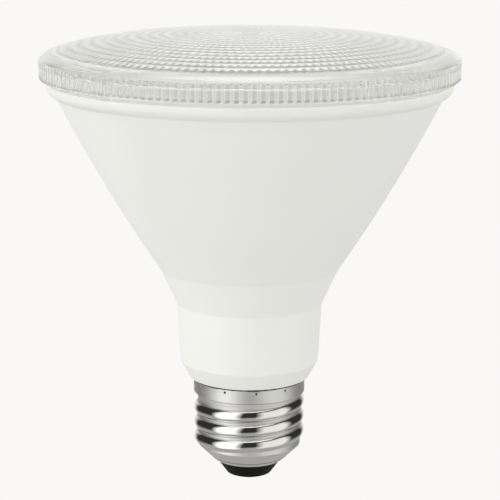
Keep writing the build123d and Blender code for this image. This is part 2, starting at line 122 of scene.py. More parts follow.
def roundedPath(corners, steps=7):
    # Straight runs between corners (radius, height, rounding).
    # A rounding is an arc tangent to both of its runs.
    path = []
    for i, (radius, height, rounding) in enumerate(corners):
        here = np.array([radius, height], float)
        if rounding == 0:
            path.append(here[None])
            continue
        back = np.array(corners[i - 1][:2]) - here
        ahead = np.array(corners[(i + 1) % len(corners)][:2]) - here
        back /= np.linalg.norm(back)
        ahead /= np.linalg.norm(ahead)
        half = np.arccos(np.clip(back @ ahead, -1, 1)) / 2
        centre = here + (back + ahead) / np.linalg.norm(back + ahead) * rounding / np.sin(half)
        first = here + back * rounding / np.tan(half) - centre
        last = here + ahead * rounding / np.tan(half) - centre
        sweep = np.pi - 2 * half
        t = np.linspace(0, 1, steps)[:, None]
        path.append(centre + (np.sin((1 - t) * sweep) * first + np.sin(t * sweep) * last) / np.sin(sweep))
    return np.concatenate(path)


def bulgedRun(start, end, bulge, steps):
    # Points between start and end on a shallow arc: the chord plus bulge times a parabola across it.
    start, end = np.array(start, float), np.array(end, float)
    t = np.linspace(0, 1, steps + 2)[1:-1, None]
    along = end - start
    across = np.array([-along[1], along[0]]) / np.linalg.norm(along)
    return [(r, z, 0) for r, z in start + along * t + across * bulge * 4 * t * (1 - t)]


def turnedPiece(name, corners, count, sharpAngle=35.0):
    # A profile of corners carried round the axis and closed into a ring.
    path = roundedPath(corners)
    return turnedSkin(name, [ringRow(r, z, count) for r, z in path], True, sharpAngle)


def smoothStep(low, high, value):
    t = np.clip((value - low) / (high - low), 0, 1)
    return t * t * (3 - 2 * t)


def finishPiece(piece, node, material):
    piece.data.materials.append(material)
    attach(piece, "root")
    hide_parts(node)


# Material helpers

mottleStops = (0.35, 0.65)  # noise values at which the two tones of a material are full


def hexColour(text):  # sRGB hex to linear RGBA
    value = np.array([int(text[i:i + 2], 16) for i in (1, 3, 5)]) / 255
    linear = np.where(value <= 0.04045, value / 12.92, ((value + 0.055) / 1.055) ** 2.4)
    return (*linear.tolist(), 1.0)


def addNode(tree, kind, inputs=None, **settings):
    node = tree.nodes.new(kind)
    for key, value in settings.items():
        setattr(node, key, value)
    for key, value in (inputs or {}).items():
        if isinstance(value, bpy.types.NodeSocket):
            tree.links.new(value, node.inputs[key])
        else:
            node.inputs[key].default_value = value
    return node


def newMaterial(name):
    material = bpy.data.materials.new(name)
    material.use_nodes = True
    material.node_tree.nodes.clear()
    return material, material.node_tree


def mottled(tree, coords, grain, colours, detail=3.0):
    # Noise of one grain size in millimetres, and a ramp between two close tones of the material.
    noise = addNode(tree, "ShaderNodeTexNoise",
                    {"Vector": coords, "Scale": 1 / (grain * mm), "Detail": detail})
    ramp = addNode(tree, "ShaderNodeValToRGB", {"Fac": noise.outputs["Fac"]})
    for stop, place, colour in zip(ramp.color_ramp.elements, mottleStops, colours):
        stop.position = place
        stop.color = hexColour(colour)
    return noise, ramp


def mouldedMaterial(name, spec):
    # Principled surface with two close tones and uneven gloss from one noise, and a fine bump from another.
    # Two optional attributes: "frost" roughens the inner walls, and a second one paints shade, darkening the
    # colour where it is 1.
    material, tree = newMaterial(name)
    coords = addNode(tree, "ShaderNodeTexCoord").outputs["Object"]
    tones, ramp = mottled(tree, coords, spec["blotch"], spec["colours"])
    grain = addNode(tree, "ShaderNodeTexNoise",
                    {"Vector": coords, "Scale": 1 / (spec["grain"] * mm), "Detail": 2.0})
    low, high = spec["roughness"]
    gloss = addNode(tree, "ShaderNodeMapRange",
                    {"Value": tones.outputs["Fac"], "To Min": low, "To Max": high})
    bump = addNode(tree, "ShaderNodeBump",
                   {"Height": grain.outputs["Fac"], "Strength": spec["bump"], "Distance": spec["depth"] * mm})
    colour, rough = ramp.outputs["Color"], gloss.outputs["Result"]
    if "frost" in spec:
        frost = addNode(tree, "ShaderNodeAttribute", attribute_name="frost").outputs["Fac"]
        rough = addNode(tree, "ShaderNodeMix", {0: frost, 2: rough, 3: spec["frost"]}).outputs[0]
    if "paintedShadeMask" in spec:
        paintedShadeMask = addNode(tree, "ShaderNodeAttribute", attribute_name=spec["paintedShadeMask"]).outputs["Fac"]
        colour = addNode(tree, "ShaderNodeMix", {0: paintedShadeMask, 6: colour, 7: hexColour(spec["paintedShadeColour"])},
                         data_type="RGBA").outputs[2]
    shader = addNode(tree, "ShaderNodeBsdfPrincipled", {
        "Base Color": colour,
        "Roughness": rough,
        "Normal": bump.outputs["Normal"],
        "Metallic": spec.get("metallic", 0.0),
        "IOR": spec.get("ior", 1.5),
        "Specular IOR Level": spec.get("specular", 0.5),
        "Transmission Weight": spec.get("transmission", 0.0),
    })
    addNode(tree, "ShaderNodeOutputMaterial", {"Surface": shader.outputs["BSDF"]})
    return material


# Clear front lens: one polycarbonate moulding with a domed face, lenslets underneath and a ribbed skirt

lensSpec = {
    "ribCount": 164,
    "ribProud": 0.45,  # depth of the grooves between the ribs
    "ribEnd": 0.55,  # over which a groove runs out
    "ribFoot": 1.25,  # from the lower edge to the ribs
    "ribLength": 3.9,
    "crestPaintedShade": 0.42,  # share of painted shade on a rib's crest, and at the crest's lower end
    "crestEndPaintedShade": 0.85,
    "crestEdge": (0.12, 0.4),  # groove depths between which that painted shade fades
    "footShare": 0.8,  # of ribEnd that counts as the lower end
    "ribPoints": 10,  # points across one rib
    "lip": 1.35,  # the lower edge lies this far inside the crests
    "lipShare": 0.12,  # of the lip, at its upper corner
    "lipDrop": 0.35,  # from the ribs' foot to that corner
    "skirtWall": 2.55,
    "seatHeight": 3.75,
    "seatBore": 44.3,
    "rimRound": 1.0,
    "rimBlend": 8.0,  # width over which the face rolls over into the upright rim
    "domeRise": 4.2,
    "domePower": 3,
    "thickness": 2.2,
    "ringPitch": 2.64,
    "ringDepth": 0.37,
    "patternMargin": 3.5,
    "patternStep": 0.2,
    "faceRows": 16,  # rows of points on the face, the rim and a rib's run-out
    "rimRows": 26,
    "endRows": 6,
    "middlePoints": 96,
    "sharpAngle": 32.0,
    "lensletZones": [(31.0, 144), (15.0, 96), (0.0, 48)],  # lenslets in a ring, from a radius outwards
    "lensletPoints": 6,  # points across one lenslet, both ways
    "lensletShift": 1 / 3,  # of a lenslet from one ring to the next
    "lensletFall": 0.7,  # how far a lenslet falls away sideways, as a share of its depth
}


def ribRow(spec, crestRadius, height, foot):
    # Rib skirt: crest radius less a groove. Each rib is a circle's cap across, and the grooves run out
    # along an ellipse at both ends, so that the ribs are flush with the rim.
    count = spec["ribCount"] * spec["ribPoints"]
    across = 2 * ((np.arange(count) / spec["ribPoints"]) % 1) - 1
    wall = crestRadius - spec["ribProud"]
    chord = np.pi * wall / spec["ribCount"]
    capRadius = (chord ** 2 + spec["ribProud"] ** 2) / (2 * spec["ribProud"])
    cap = np.sqrt(capRadius ** 2 - (across * chord) ** 2) - capRadius + spec["ribProud"]
    toEnd = min(height - foot, foot + spec["ribLength"] - height)
    end = 1 - max(0.0, 1 - toEnd / spec["ribEnd"]) ** 2
    groove = 1 - cap / spec["ribProud"]
    atFoot = height - foot < spec["footShare"] * spec["ribEnd"]
    # painted shade: each rib's crest is darkened, more at its lower end, fading out towards the groove
    ribPaintedShade = spec["crestEndPaintedShade" if atFoot else "crestPaintedShade"] * (1 - smoothStep(*spec["crestEdge"], groove))
    radius = crestRadius - spec["ribProud"] * groove * np.sqrt(max(end, 0.0))
    return ringRow(radius, height, count), ribPaintedShade


def buildLens(spec):
    low, high = spanOf("front_lens")
    crest = high[0]
    foot = low[2] + spec["ribFoot"]
    ribTop = foot + spec["ribLength"]
    domeEdge = crest - spec["rimRound"]
    smooth = 2 * spec["ribCount"]

    def face(radius):  # the face falls from its apex with the cube of the radius
        return high[2] - spec["domeRise"] * (radius / domeEdge) ** spec["domePower"]

    rows, tones, frosts = [], [], []

    def put(row, paintedRibShade=0.0, frost=0.0):
        rows.append(row)
        tones.append(np.broadcast_to(paintedRibShade, len(row)))
        frosts.append(np.full(len(row), frost))

    put(ringRow(0, high[2], 1))
    blend = crest - spec["rimBlend"]
    for radius in np.linspace(0, blend, spec["faceRows"])[1:]:
        put(ringRow(radius, face(radius), smooth))
    # rim: a parabola's arc that leaves the face along its slope and meets the ribs upright
    slope = -spec["domePower"] * spec["domeRise"] / domeEdge * (blend / domeEdge) ** (spec["domePower"] - 1)
    corner = face(blend) + slope * spec["rimBlend"]
    for share in np.linspace(0, 1, spec["rimRows"])[1:]:
        radius = crest - spec["rimBlend"] * (1 - share) ** 2
        height = (1 - share) ** 2 * face(blend) + 2 * share * (1 - share) * corner + share ** 2 * ribTop
        put(ringRow(radius, height, smooth))
    endSteps = spec["ribEnd"] * (1 - np.cos(np.linspace(0, np.pi / 2, spec["endRows"])))
    for height in np.concatenate([ribTop - endSteps[1:], (foot + endSteps)[::-1]]):
        put(*ribRow(spec, crest, height, foot))
    bore = crest - spec["skirtWall"]
    seat = low[2] + spec["seatHeight"]
    patternRadius = domeEdge - spec["patternMargin"]
    under = roundedPath([
        (crest, foot, 0),
        (crest - spec["lip"] * spec["lipShare"], foot - spec["lipDrop"], 0.5),
        (crest - spec["lip"], low[2], 0.25),
        (bore, low[2], 0.2),
        (bore, seat, 0.3),
        (spec["seatBore"], seat, 0.1),
        (patternRadius + spec["patternStep"], face(patternRadius) - spec["thickness"], 0.6),
        (patternRadius, face(patternRadius) - spec["thickness"], 0),
    ])
    for radius, height in under[1:-1]:
        put(ringRow(radius, height, smooth), 0.0, float(radius < crest - spec["lip"]))
    # lenslets: inside a ring the depth is a parabola across the ring times a parabola along the lenslet
    ringCount = int(patternRadius / spec["ringPitch"])
    steps = np.arange(spec["lensletPoints"]) / spec["lensletPoints"]
    for ring in range(ringCount):
        outer = patternRadius - spec["ringPitch"] * ring
        lenslets = next(n for r, n in spec["lensletZones"] if outer - spec["ringPitch"] >= r or r == 0)
        count = lenslets * spec["lensletPoints"]
        along = 2 * ((np.arange(count) / spec["lensletPoints"] + spec["lensletShift"] * ring) % 1) - 1
        for step in steps:
            depth = spec["ringDepth"] * (1 - (2 * step - 1) ** 2) * (1 - spec["lensletFall"] * along ** 2)
            radius = outer - spec["ringPitch"] * step
            put(ringRow(radius, face(radius) - spec["thickness"] - depth, count))
    middle = patternRadius - spec["ringPitch"] * ringCount
    for share in (1.0, 0.75, 0.5, 0.25):
        depth = spec["ringDepth"] * (1 - share ** 2)
        radius = middle * share
        put(ringRow(radius, face(radius) - spec["thickness"] - depth, spec["middlePoints"]))
    put(ringRow(0, face(0) - spec["thickness"] - spec["ringDepth"], 1))
    # the attribute "crest" holds the ribs' painted shade
    return turnedSkin("front_lens_clear", rows, False, spec["sharpAngle"], {"crest": tones, "frost": frosts})


# polycarbonate, injection moulded: clear and glossy, with a faint ripple from the mould, and painted shade on
# the rib crests
clearPolycarbonate = mouldedMaterial("polycarbonate clear moulded", {
    "colours": ("#FAFBF6", "#FBFCF8"), "blotch": 14.0, "grain": 5.0, "bump": 0.05, "depth": 0.05,
    "roughness": (0.015, 0.03), "ior": 1.585, "transmission": 0.92, "frost": 0.5, "paintedShadeMask": "crest",
    "paintedShadeColour": "#8C8E88",
})
lens = buildLens(lensSpec)
finishPiece(lens, "front_lens", clearPolycarbonate)

# White housing: one PBT moulding with a rounded shoulder, slightly bulged cone, break, neck and boss

housingSpec = {
    "wall": 2.0,
    "neckFootRadius": 14.12,
    "neckRadius": 16.4,
    "neckChamfer": 4.05,
    "neckTopRadius": 17.171,
    "neckLength": 13.92,
    "bandRadius": 21.02,
    "bandHeight": 8.28,
    "coneHeight": 40.9,
    "coneTopRadius": 44.74,
    "coneBulge": 0.753,  # the bulge across the chord
    "shoulderBulge": 0.7,
    "shoulderHeight": 3.2,
    "spigotRadius": 45.9,
    "spigotBore": 44.3,
    "bossReach": 13.0,
    "bossRadius": 11.75,
    "bossBore": 9.55,
    "bossCollar": 12.75,
    "collarDrop": 3.65,  # from the neck's foot down to the wide part of the boss
    "flareDrop": 5.75,
    "footInset": 0.25,
    "shoulderRows": 8,
    "coneRows": 40,
    "count": 360,
    "sharpAngle": 40.0,
}


def buildHousing(spec):
    low, high = spanOf("housing")
    foot = low[2] + spec["bossReach"]
    neck = foot + spec["neckChamfer"]
    neckTop = neck + spec["neckLength"]
    bandTop = neckTop + spec["bandHeight"]
    coneTop = bandTop + spec["coneHeight"]
    ledge = coneTop + spec["shoulderHeight"]
    cone = ((spec["bandRadius"], bandTop), (spec["coneTopRadius"], coneTop))
    edge = (high[0], ledge)
    wall = spec["wall"]
    slope = (cone[1][0] - cone[0][0]) / spec["coneHeight"]
    bandBore = spec["bandRadius"] - wall * np.hypot(1, slope)
    boreTop = bandTop + (spec["spigotBore"] - bandBore) / slope
    outside = [
        (spec["spigotBore"], high[2], 0.2),
        (spec["spigotRadius"], high[2], 0.3),
        (spec["spigotRadius"], ledge, 0.2),
        (*edge, 0.35),
        *bulgedRun(edge, cone[1], spec["shoulderBulge"], spec["shoulderRows"]),
        (*cone[1], 0.25),
        *bulgedRun(cone[1], cone[0], spec["coneBulge"], spec["coneRows"]),
        (*cone[0], 0.5),
        (spec["neckTopRadius"], neckTop, 0.8),
        (spec["neckRadius"], neck, 1.2),
        (spec["neckFootRadius"], foot, 0.3),
        (spec["bossCollar"], foot, 0.15),
        (spec["bossCollar"], foot - spec["collarDrop"], 0.3),
        (spec["bossRadius"], foot - spec["flareDrop"], 0.3),
        (spec["bossRadius"], low[2], 0.2),
        (spec["bossBore"], low[2], 0.2),
    ]
    inside = [
        (spec["bossBore"], foot + wall, 0.3),
        (spec["neckFootRadius"] - spec["footInset"], foot + wall, 0.3),
        (spec["neckRadius"] - wall, neck, 0.3),
        (spec["neckTopRadius"] - wall, neckTop, 0.3),
        (bandBore, bandTop, 0.3),
        (spec["spigotBore"], boreTop, 0.3),
    ]
    return turnedPiece("housing_moulding", outside + inside, spec["count"], spec["sharpAngle"])


# PBT, injection moulded in a finely eroded tool: clean white, semi-matte, a soft wide sheen
whitePbt = mouldedMaterial("PBT white moulded", {
    "colours": ("#F4F5EF", "#F6F7F1"), "blotch": 22.0, "grain": 0.35, "bump": 0.12, "depth": 0.02,
    "roughness": (0.42, 0.5), "ior": 1.55,
})
housing = buildHousing(housingSpec)
finishPiece(housing, "housing", whitePbt)

# Screw shell: nickel-plated brass sheet with a rolled thread, satin collar and staking pits

shellSpec = {
    "wall": 0.35,
    "lipRadius": 8.1,
    "creaseRadius": 9.3,
    "creaseHeight": 1.0,  # over the lip
    "rootRadius": 12.2,
    "crestRadius": 13.1,
    "coneHeight": 3.9,  # over the lip, where the root begins
    "threadStart": 4.65,  # over the lip
    "pitch": 3.629,
    "turns": 3.0,
    "fade": 0.22,  # share of a turn over which the ridge rises and falls at its ends
    "beadShare": 0.78,  # share of the pitch that is round crest
    "threadTop": 14.9,
    "collarFoot": 17.0,
    "collarRound": 0.12,
    "edgeBreak": (0.05, 0.03),  # inwards and down, where the trimmed edge is broken
    "pitCount": 11,
    "pitRadius": 0.3,
    "pitDepth": 0.28,
    "pitDrop": 0.95,  # below the collar's edge
    "pitTurn": 7.2,  # degrees from the front to the first pit
    "dentEdge": (0.45, 1.1),  # shares of the pit's radius between which its dent runs out
    "pitReach": 1.4,  # rows of points go this far over and under a pit, in pit radii
    "pitClear": 1.5,
    "pitRows": 15,
    "edgeFoot": 0.25,  # first plain row below the edge, and the first below the pits
    "pitFoot": 1.7,
    "plainRows": 5,
    "edgeWave": 0.06,  # unevenness of the trimmed edge
    "edgeWaves": [(1.0, 7, 0.6), (0.7, 17, 0.0), (0.6, 41, 2.0)],  # strength, waves in a turn and offset
    "paintedEdgeShadeHeight": 0.33,  # height of the painted shade along the trimmed edge, under the neck
    "edgeBlur": 0.1,
    "seamPaintedShade": 0.75,  # depth of painted shade along the trimmed edge, in the groove under the collar and in the crease
    "seamHeight": 0.1,
    "grooveEdge": (0.6, 0.95),  # shares of the flare between which painted shade darkens that groove
    "shineEdge": (0.88, 1.0),  # shares of the bead between which its polish ends
    "shineFade": (0.1, 0.6),  # shares of the full ridge between which the polish begins
    "coneOverlap": 0.9,  # the thread's rows end this far below the cone's top
    "flareRows": 14,
    "threadRows": 92,
    "creaseFlank": (0.16, 0.2),  # outwards and up, inwards and down from the crease
    "creaseFoot": (0.18, 0.15),
    "lipEdge": (0.22, 0.27),  # inwards and up, where the lip turns in
    "innerCrease": (0.2, 0.3),
    "innerStep": 0.15,
    "threadColumns": 540,
    "collarColumns": 1320,
    "innerColumns": 180,
    "sharpAngle": 50.0,
}


def threadRise(spec, lip, height, turn):
    # Rolled thread along a right-hand helix that starts at the back. Across one pitch the section is
    # a round bead and a round valley, two circle arcs that meet at one slope. Both fade at the helix ends.
    depth = spec["crestRadius"] - spec["rootRadius"]
    slope = 2 * np.arctan(2 * depth / spec["pitch"])
    beadRadius = spec["beadShare"] * spec["pitch"] / 2 / np.sin(slope)
    valleyRadius = (1 - spec["beadShare"]) * spec["pitch"] / 2 / np.sin(slope)
    behind = ((turn - np.pi) / (2 * np.pi)) % 1
    place = (height - lip - spec["threadStart"]) / spec["pitch"] - behind
    nearest = np.round(place)
    away = np.abs(place - nearest)
    onBead = np.minimum(away, spec["beadShare"] / 2) * spec["pitch"] / beadRadius
    inValley = np.minimum(0.5 - away, 0.5 - spec["beadShare"] / 2) * spec["pitch"] / valleyRadius
    bead = depth - beadRadius * (1 - np.sqrt(1 - onBead ** 2))
    valley = valleyRadius * (1 - np.sqrt(1 - inValley ** 2))
    rise = np.where(away < spec["beadShare"] / 2, bead, valley)
    along = nearest + behind
    fade = smoothStep(-spec["fade"], spec["fade"], along)
    fade = fade * smoothStep(-spec["fade"], spec["fade"], spec["turns"] - along)
    shine = 1 - smoothStep(*spec["shineEdge"], away / (spec["beadShare"] / 2))
    return rise * fade, shine * smoothStep(*spec["shineFade"], fade)


def buildShell(spec):
    low, high = spanOf("screw_shell")
    lip, top = low[2], high[2]
    collar = high[0]
    rows, polish, paintedShellShades = [], [], []

    def put(row, shine, paintedShellShadeAmount=0.0):
        rows.append(row)
        polish.append(np.broadcast_to(shine, len(row)))
        paintedShellShades.append(np.broadcast_to(paintedShellShadeAmount, len(row)))

    # collar from the trimmed edge down: round pits pressed in by a smooth dent, with painted shade along the
    # edge and in the pits
    turn = turnsOf(spec["collarColumns"])
    waves = [strength * np.sin(number * turn + offset) for strength, number, offset in spec["edgeWaves"]]
    wave = spec["edgeWave"] * sum(waves)
    pitStep = 2 * np.pi / spec["pitCount"]
    pitOff = (turn - np.radians(spec["pitTurn"]) + pitStep / 2) % pitStep - pitStep / 2
    breakIn, breakDown = spec["edgeBreak"]
    edge = [(collar - spec["wall"] / 2, 0.0), (collar - breakIn, breakDown), (collar, spec["collarRound"])]
    pitReach = np.linspace(-spec["pitReach"], spec["pitReach"], spec["pitRows"])
    pitDrops = spec["pitDrop"] + pitReach * spec["pitRadius"]
    pitHead = spec["pitDrop"] - spec["pitClear"] * spec["pitRadius"]
    edgeDrops = np.linspace(spec["edgeFoot"], pitHead, spec["plainRows"])
    footDrops = np.linspace(spec["pitFoot"], top - lip - spec["collarFoot"], spec["plainRows"])
    drops = np.concatenate([edgeDrops, pitDrops, footDrops])
    paintedEdgeShadeLine = spec["paintedEdgeShadeHeight"] + wave
    # the edge's own rows are fully in painted shade
    for radius, drop in edge:
        height = top - drop + (wave - 2 * spec["edgeWave"]) * (1 - drop)
        put(ringRow(radius, height, len(turn)), 0.0, 1.0)
    for drop in drops:
        away = np.hypot(pitOff * collar, drop - spec["pitDrop"]) / spec["pitRadius"]
        dent = 1 - smoothStep(*spec["dentEdge"], away)
        # painted shade: a strip below the trimmed edge, and the pits' dents
        belowEdgeShade = smoothStep(paintedEdgeShadeLine - spec["edgeBlur"], paintedEdgeShadeLine + spec["edgeBlur"], drop)
        paintedShellShadeAmount = spec["seamPaintedShade"] * (1 - belowEdgeShade)
        put(ringRow(collar - spec["pitDepth"] * dent, top - drop, len(turn)), 0.0, np.maximum(dent, paintedShellShadeAmount))
    # flare, thread and cone
    turn = turnsOf(spec["threadColumns"])
    flareTop, flareFoot = lip + spec["collarFoot"], lip + spec["threadTop"]
    coneTop, crease = lip + spec["coneHeight"], lip + spec["creaseHeight"]
    coneSpread, coneLength = spec["rootRadius"] - spec["creaseRadius"], coneTop - crease
    flareHeights = np.linspace(flareTop, flareFoot, spec["flareRows"])[1:]
    threadHeights = np.linspace(flareFoot, coneTop - spec["coneOverlap"], spec["threadRows"])[1:]
    for height in np.concatenate([flareHeights, threadHeights]):
        t = np.clip((height - flareFoot) / (flareTop - flareFoot), 0, 1)
        # flare: an ellipse's quarter, steep at the collar; cone below the root
        flare = spec["rootRadius"] + (collar - spec["rootRadius"]) * (1 - np.sqrt(1 - t ** 2))
        coneRadius = spec["creaseRadius"] + (height - crease) * coneSpread / coneLength
        bodyRadius = min(flare, coneRadius) if height < coneTop else flare
        rise, shine = threadRise(spec, lip, height, turn)
        ridge = np.where(rise > 1e-4, spec["rootRadius"] + rise, 0)
        # painted shade in the groove under the collar, where no thread ridge stands out
        groove = spec["seamPaintedShade"] * smoothStep(*spec["grooveEdge"], t) * (ridge < bodyRadius)
        radius = np.maximum(bodyRadius, ridge)
        put(ringRow(radius, height, len(turn)), np.where(ridge > bodyRadius, shine, 0), groove)
    # crease and lip, with painted shade along the crease
    (flankOut, flankUp), (footIn, footDown) = spec["creaseFlank"], spec["creaseFoot"]
    lipIn, lipUp = spec["lipEdge"]
    outerEnd = roundedPath([
        (spec["creaseRadius"] + flankOut, crease + flankUp, 0),
        (spec["creaseRadius"], crease, 0.5),
        (spec["creaseRadius"] - footIn, crease - footDown, 0),
        (spec["lipRadius"], lip, 0),
        (spec["lipRadius"] - lipIn, lip + lipUp, 0),
    ])
    for radius, height in outerEnd:
        creasePaintedShade = spec["seamPaintedShade"] * (abs(height - crease) < spec["seamHeight"])
        put(ringRow(radius, height, spec["innerColumns"]), 0.0, creasePaintedShade)
    # inside: a plain wall behind the cone, the thread's root and the collar
    creaseIn, creaseUp = spec["innerCrease"]
    inside = [
        (spec["creaseRadius"] - creaseIn, crease + creaseUp),
        (spec["rootRadius"] - spec["wall"], coneTop + spec["innerStep"]),
        (spec["rootRadius"] - spec["wall"], flareFoot),
        (collar - spec["wall"], flareTop),
        (collar - spec["wall"], top - spec["innerStep"]),
    ]
    for radius, height in inside:
        put(ringRow(radius, height, spec["innerColumns"]), 0.0)
    return turnedSkin("screw_shell_rolled", rows, True, spec["sharpAngle"], {"polish": polish, "paintedShellShade": paintedShellShades})


def nickelMaterial(name, spec):
    # Plated sheet: polished where it was rolled, satin elsewhere. One attribute is painted shade: it darkens
    # the pits, the trimmed edge under the neck, the groove under the collar and the crease.
    material, tree = newMaterial(name)
    coords = addNode(tree, "ShaderNodeTexCoord").outputs["Object"]
    polish = addNode(tree, "ShaderNodeAttribute", attribute_name="polish").outputs["Fac"]
    paintedShellShade = addNode(tree, "ShaderNodeAttribute", attribute_name="paintedShellShade").outputs["Fac"]
    tones, ramp = mottled(tree, coords, spec["blotch"], spec["colours"])
    mixed = {0: paintedShellShade, 6: ramp.outputs["Color"], 7: hexColour(spec["paintedShellShadeColour"])}
    colour = addNode(tree, "ShaderNodeMix", mixed, data_type="RGBA")
    # drawn sheet: grain stretched up the wall
    stretch = addNode(tree, "ShaderNodeMapping", {"Vector": coords, "Scale": (1.0, 1.0, spec["stretch"])})
    grain = addNode(tree, "ShaderNodeTexNoise",
                    {"Vector": stretch.outputs["Vector"], "Scale": 1 / (spec["grain"] * mm), "Detail": 3.0})
    satin = addNode(tree, "ShaderNodeMapRange", {
        "Value": grain.outputs["Fac"], "To Min": spec["satin"][0], "To Max": spec["satin"][1]})
    rough = addNode(tree, "ShaderNodeMix", {0: polish, 2: satin.outputs["Result"], 3: spec["polished"]})
    bump = addNode(tree, "ShaderNodeBump",
                   {"Height": grain.outputs["Fac"], "Strength": spec["bump"], "Distance": spec["depth"] * mm})
    shader = addNode(tree, "ShaderNodeBsdfPrincipled", {
        "Base Color": colour.outputs[2],
        "Metallic": 1.0,
        "Roughness": rough.outputs[0],
        "Normal": bump.outputs["Normal"],
    })
    addNode(tree, "ShaderNodeOutputMaterial", {"Surface": shader.outputs["BSDF"]})
    return material


# nickel-plated brass, rolled and barrel plated: bright mirror on the thread, grey satin on the collar;
# near-black painted shade in its hollows
platedNickel = nickelMaterial("nickel-plated brass", {
    "colours": ("#D3D2CD", "#DAD9D5"), "paintedShellShadeColour": "#17150F", "blotch": 6.0, "grain": 0.3, "stretch": 0.15,
    "satin": (0.44, 0.56), "polished": 0.05, "bump": 0.04, "depth": 0.02,
})
shell = buildShell(shellSpec)
finishPiece(shell, "screw_shell", platedNickel)

# Base insulator: black phenolic plug with a rounded tip, bored for the contact's shank

insulatorSpec = {
    "bore": 1.45,
    "tipRadius": 5.2,
    "tipRound": 0.8,
    "exposed": 3.6,
    "neckRadius": 7.792,
    "lipHeight": 3.857,
    "creaseRadius": 9.06,
    "creaseHeight": 4.914,
    "count": 180,
    "sharpAngle": 40.0,
}


def buildInsulator(spec):
    low, high = spanOf("base_insulator")
    foot = low[2]
    return turnedPiece("base_insulator_moulding", [
        (spec["bore"], high[2], 0.1),
        (high[0], high[2], 0.2),
        (spec["creaseRadius"], foot + spec["creaseHeight"], 0.2),
        (spec["neckRadius"], foot + spec["lipHeight"], 0.1),
        (spec["neckRadius"], foot + spec["exposed"], 0.05),
        (spec["tipRadius"], foot, spec["tipRound"]),
        (spec["bore"], foot, 0.1),
    ], spec["count"], spec["sharpAngle"])


# phenolic, compression moulded: deep black with a soft gloss
blackPhenolic = mouldedMaterial("phenolic black moulded", {
    "colours": ("#0B0B0C", "#111112"), "blotch": 3.0, "grain": 0.25, "bump": 0.15, "depth": 0.02,
    "roughness": (0.45, 0.55), "ior": 1.6, "specular": 0.05,
})
insulator = buildInsulator(insulatorSpec)
finishPiece(insulator, "base_insulator", blackPhenolic)

# Reflector: white bowl under the lens, in two flared stages

reflectorSpec = {
    "throat": 11.5,
    "wall": 1.2,
    "kneeRadius": 31.74,
    "kneeHeight": 16.4,  # over the throat
    "kneeRound": 4.0,
    "mouthRadius": 44.2,
    "flange": 0.9,
    "count": 240,
    "sharpAngle": 40.0,
}


def buildReflector(spec):
    low, high = spanOf("reflector")
    knee = low[2] + spec["kneeHeight"]
    return turnedPiece("reflector_bowl", [
        (spec["mouthRadius"] - spec["wall"], high[2], 0.3),
        (high[0], high[2], 0.2),
        (high[0], high[2] - spec["flange"], 0.2),
        (spec["mouthRadius"], high[2] - spec["flange"], 0.2),
        (spec["kneeRadius"], knee, spec["kneeRound"]),
        (spec["throat"] + spec["wall"], low[2], 0.1),
        (spec["throat"], low[2], 0.1),
        (spec["kneeRadius"] - spec["wall"], knee, spec["kneeRound"]),
    ], spec["count"], spec["sharpAngle"])


# polycarbonate filled white, moulded against a polished core: bright and slightly glossy
whiteReflector = mouldedMaterial("polycarbonate white reflector", {
    "colours": ("#F2F2EF", "#F6F6F3"), "blotch": 9.0, "grain": 0.6, "bump": 0.05, "depth": 0.02,
    "roughness": (0.2, 0.3), "ior": 1.585,
})
reflector = buildReflector(reflectorSpec)
finishPiece(reflector, "reflector", whiteReflector)

# Inner pieces keep their CAD shapes and get the finish of the real part

def finish(material, colours, roughness, **grains):  # a material's name and its values
    return material, {"colours": colours, "roughness": roughness, **grains}


